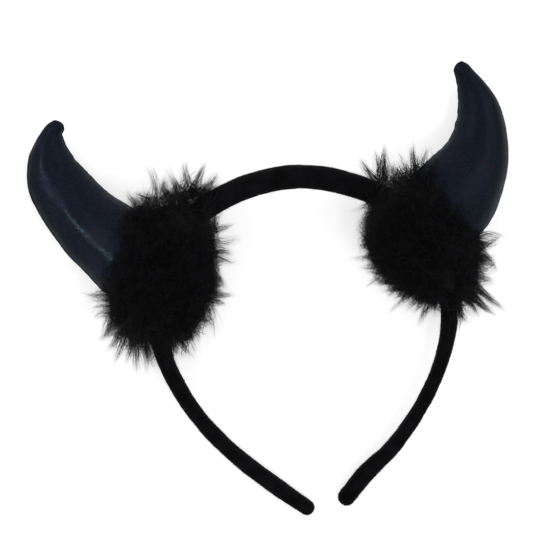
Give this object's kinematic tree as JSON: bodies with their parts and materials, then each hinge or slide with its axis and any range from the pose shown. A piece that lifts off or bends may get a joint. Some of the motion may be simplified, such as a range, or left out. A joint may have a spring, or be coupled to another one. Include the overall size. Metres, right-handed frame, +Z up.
{
  "type": "devil horns headband",
  "caption": "Padded black velvet headband with stuffed blue-black horns and a trim of black marabou fluff round each horn's base, lying flat.",
  "frame": {"origin": "on the table, under the middle of the whole headband", "axes": "+Z up from the table, +X across the head towards the more upright horn, +Y from the open ends towards the crown"},
  "size_m": [0.2082, 0.1963, 0.0537],
  "materials": {
    "black_velvet": "matte",
    "blue_black_lame": "satin",
    "black_marabou": "matte"
  },
  "bodies": {
    "root": {"headband": "black_velvet", "horn_left": "blue_black_lame", "horn_right": "blue_black_lame", "fur_trim_left": "black_marabou", "fur_trim_right": "black_marabou"}
  },
  "joints": []
}
